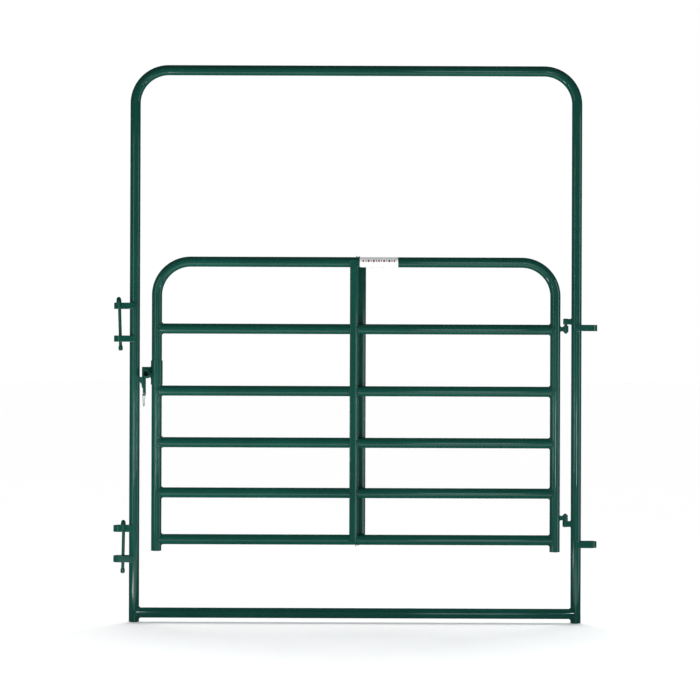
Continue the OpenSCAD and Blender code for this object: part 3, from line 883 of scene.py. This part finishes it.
class GATE_OT_coped_tubes(bpy.types.Operator):
    """Makes the sill and the leaf's five rails, coped to their uprights"""

    bl_idname = "gate.coped_tubes"
    bl_label = "Coped tubes"

    def execute(self, context):
        tube = context.scene.gate_tube
        tree = group_of("Coped tubes", coped_tube_tree)
        rows = (
            ("frame_sill_tube", "frame", 2 * POST_X, 0.0, ["frame_sill"]),
            ("leaf_rail_tubes", "leaf", STILE_X[1] - STILE_X[0], LEAF_MID, RAILS),
        )
        for name, body, span, middle_x, nodes in rows:
            centres = bpy.data.meshes.new("centres")
            centres.from_pydata([(middle_x, 0.0, middle(node).z) for node in nodes], [], [])
            values = {
                "Span": span,
                "Diameter": tube.diameter,
                "Root Gap": tube.root_gap,
                "Sides": tube.sides,
                "Material": enamel(),
            }
            mesh = grown(tree, centres, values)
            show(name, walled(mesh, tube.wall), body, ENAMEL, *nodes)
        return {"FINISHED"}


class GATE_OT_brace(bpy.types.Operator):
    """Finishes the folded centre brace"""

    bl_idname = "gate.brace"
    bl_label = "Centre brace"

    def execute(self, context):
        show_softened(["centre_brace"], "leaf", crowned_enamel(), ENAMEL, context.scene.gate_finish.edge / 2)
        return {"FINISHED"}


class GATE_OT_brackets(bpy.types.Operator):
    """Finishes the connector loops, hinges, keeper and latch"""

    bl_idname = "gate.brackets"
    bl_label = "Loops, hinges, keeper and latch"

    def execute(self, context):
        edge = context.scene.gate_finish.edge
        loops = [f"latch_post_loop_{number}" for number in range(1, 5)]
        loops += [f"hinge_post_loop_{number}" for number in range(1, 3)]
        lugs = ["upper_hinge_lug", "lower_hinge_lug", "keeper_front_cheek", "keeper_rear_cheek"]
        show_softened(loops + lugs, "frame", enamel(), ENAMEL, edge)
        show_softened(["upper_hinge_eye", "lower_hinge_eye"], "leaf", enamel(), ENAMEL, edge)
        show_softened(["latch_sleeve", "latch_plate", "latch_grip"], "latch", enamel(), ENAMEL, edge)
        finish_nodes(["latch_tongue", "upper_hinge_pin", "lower_hinge_pin"], enamel())
        return {"FINISHED"}


class GATE_OT_loose_pieces(bpy.types.Operator):
    """Finishes the hitch clip and the drop pins"""

    bl_idname = "gate.loose_pieces"
    bl_label = "Clip and drop pins"

    def execute(self, context):
        finish_nodes(["hitch_clip"], plated_wire())
        finish_nodes(["upper_drop_pin", "lower_drop_pin"], enamel())
        return {"FINISHED"}


class GATE_OT_label(bpy.types.Operator):
    """Wraps the printed label round the leaf's top tube"""

    bl_idname = "gate.label"
    bl_label = "Label"

    def execute(self, context):
        label = context.scene.gate_label
        low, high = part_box("label")
        rows, columns = 40, 62
        outer = TUBE_R + label.lift
        shape = bmesh.new()
        layer = shape.loops.layers.uv.new("label")
        grid = []
        for row in range(rows + 1):
            turn = label.wrap * (2 * row / rows - 1)
            past = max(0.0, abs(turn) * outer - (label.wrap * outer - label.corner))
            inset = label.corner - math.sqrt(max(0.0, label.corner**2 - past**2))
            line = []
            for column in range(columns + 1):
                share = column / columns
                x = low.x + inset + (high.x - low.x - 2 * inset) * share
                place = (x, -outer * math.cos(turn), LEAF_TOP + outer * math.sin(turn))
                line.append((shape.verts.new(place), (share, row / rows)))
            grid.append(line)
        for under, over in zip(grid, grid[1:]):
            for column in range(columns):
                ring = (under[column], under[column + 1], over[column + 1], over[column])
                face = shape.faces.new([vert for vert, _ in ring])
                face.smooth = True
                for loop, (_, uv) in zip(face.loops, ring):
                    loop[layer].uv = uv
        flat = bpy.data.meshes.new("label_film")
        shape.to_mesh(flat)
        shape.free()
        mesh = walled(flat, label.film)
        mesh.materials.append(printed_film())
        show("label_film", mesh, "leaf", FILM, "label")
        return {"FINISHED"}


class GATE_OT_welds(bpy.types.Operator):
    """Lays the weld beads of the frame, the leaf and the latch"""

    bl_idname = "gate.welds"
    bl_label = "Weld beads"

    def execute(self, context):
        weld = context.scene.gate_weld
        tree = group_of("Weld beads", weld_bead_tree)
        jobs = (
            ("frame_joint_welds", "frame", weld.joint, self.frame_joints()),
            ("frame_bracket_welds", "frame", weld.bracket, self.frame_brackets()),
            ("leaf_joint_welds", "leaf", weld.joint, self.leaf_joints(weld)),
            ("leaf_eye_welds", "leaf", weld.bracket, self.leaf_eyes()),
            ("leaf_brace_welds", "leaf", weld.small, self.leaf_brace()),
            ("latch_welds", "latch", weld.small, self.latch()),
        )
        for name, body, radius, lines in jobs:
            values = {
                "Bead Radius": radius,
                "Ripple Pitch": weld.pitch,
                "Ripple": weld.ripple,
                "Seed": weld.seed,
                "Material": enamel("Enamel on weld", relief=0.00012, gloss=0.24),
            }
            mesh = grown(tree, lines_curve(lines), values)
            show(name, mesh, body, ENAMEL)
        return {"FINISHED"}

    def frame_joints(self):
        """Both ends of the sill."""
        z = middle("frame_sill").z
        return [cope_line(-side * POST_X, side, z, 1.0) for side in (-1, 1)]

    def leaf_joints(self, weld):
        """Both ends of each rail. The bead under the latch sleeve stays inside the sleeve's seat."""
        seat, seat_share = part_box("latch_sleeve")[0].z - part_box(RAILS[3])[1].z, 0.78
        lines = []
        for node in RAILS:
            for stile_x, side in zip(STILE_X, (1, -1)):
                seated = node == RAILS[3] and side == 1
                share = seat_share * seat / weld.joint if seated else 1.0
                lines.append(cope_line(stile_x, side, middle(node).z, share))
        return lines

    def frame_brackets(self):
        """Lugs, hinge pins, keeper cheeks and connector loops on the posts."""
        pin_share, cheek_share, arm_share = 0.55, 0.62, 0.42
        lines = []
        for lug in ("upper_hinge_lug", "lower_hinge_lug"):
            lines.append(patch_line(POST_X, -1, TUBE_R, *block_ranges(lug)))
        upper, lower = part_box("upper_hinge_lug")[1].z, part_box("lower_hinge_lug")[0].z
        pin_r = extent("upper_hinge_pin").x / 2
        lines += [ring_line((HINGE_X, 0, z), pin_r, "Z", pin_share) for z in (upper, lower)]
        for cheek in ("keeper_front_cheek", "keeper_rear_cheek"):
            y_range, (low, high) = block_ranges(cheek)
            arm_low = high - arm_share * (high - low)
            lines.append(patch_line(-POST_X, 1, TUBE_R, y_range, (arm_low, high), cheek_share))
        for number in range(1, 5):
            lines += loop_lines(f"latch_post_loop_{number}", -1)
        for number in range(1, 3):
            lines += loop_lines(f"hinge_post_loop_{number}", 1)
        return lines

    def leaf_eyes(self):
        """Stems of the hinge eyes on the stile."""
        half_t, half_h = 0.006, 0.009
        lines = []
        for eye in ("upper_hinge_eye", "lower_hinge_eye"):
            z = middle(eye).z
            lines.append(patch_line(STILE_X[1], 1, TUBE_R, (-half_t, half_t), (z - half_h, z + half_h)))
        return lines

    def leaf_brace(self):
        """The brace at every rail and at the top tube."""
        heights = [middle(node).z for node in RAILS] + [LEAF_TOP]
        return [line for z in heights for line in crossing_lines(z)]

    def latch(self):
        """Plate on the sleeve, grip on the plate and tongue under it."""
        half_plate, tongue_share, inset = 0.0028, 0.8, 0.93
        sleeve_r = extent("latch_sleeve").x / 2
        y_range, z_range = block_ranges("latch_plate")
        grip, tongue = middle("latch_grip"), middle("latch_tongue")
        grip_r, tongue_r = extent("latch_grip").x / 2, extent("latch_tongue").x / 2
        lines = [patch_line(STILE_X[0], -1, sleeve_r, y_range, z_range)]
        lines.append(ring_line((grip.x, y_range[0], grip.z), grip_r, "Y"))
        for side in (-1, 1):
            x = tongue.x + side * tongue_r * inset
            ends = [(x, y, z_range[0]) for y in (-half_plate, half_plate)]
            lines.append(straight_line(*ends, tongue_share))
        return lines


# ---- panel ----


class GATE_PT_panel(bpy.types.Panel):
    """Lists the gate's sizes, finishes and pieces"""

    bl_idname = "GATE_PT_panel"
    bl_label = "Bow gate"
    bl_space_type = "VIEW_3D"
    bl_region_type = "UI"
    bl_category = "Bow Gate"

    def draw(self, context):
        scene = context.scene
        for settings in (getattr(scene, name) for name in SETTINGS):
            box = self.layout.box()
            for name in settings.__annotations__:
                box.prop(settings, name)
        for operator in OPERATORS:
            self.layout.operator(operator.bl_idname)


SETTINGS = {
    "gate_tube": GateTubeSettings,
    "gate_weld": GateWeldSettings,
    "gate_finish": GateFinishSettings,
    "gate_label": GateLabelSettings,
    "gate_studio": GateStudioSettings,
}
OPERATORS = (
    GATE_OT_studio,
    GATE_OT_bent_tubes,
    GATE_OT_coped_tubes,
    GATE_OT_brace,
    GATE_OT_brackets,
    GATE_OT_loose_pieces,
    GATE_OT_label,
    GATE_OT_welds,
)


def register():
    """Registers the classes and hangs the settings on the scene."""
    for cls in (*SETTINGS.values(), *OPERATORS, GATE_PT_panel):
        bpy.utils.register_class(cls)
    for name, cls in SETTINGS.items():
        setattr(bpy.types.Scene, name, PointerProperty(type=cls))


def unregister():
    """Takes the settings and the classes away again."""
    for name in SETTINGS:
        delattr(bpy.types.Scene, name)
    for cls in reversed((*SETTINGS.values(), *OPERATORS, GATE_PT_panel)):
        bpy.utils.unregister_class(cls)


def main():
    """Makes every piece in order."""
    register()
    bpy.ops.gate.studio()
    bpy.ops.gate.bent_tubes()
    bpy.ops.gate.coped_tubes()
    bpy.ops.gate.brace()
    bpy.ops.gate.brackets()
    bpy.ops.gate.loose_pieces()
    bpy.ops.gate.label()
    bpy.ops.gate.welds()


if __name__ == "__main__":
    main()
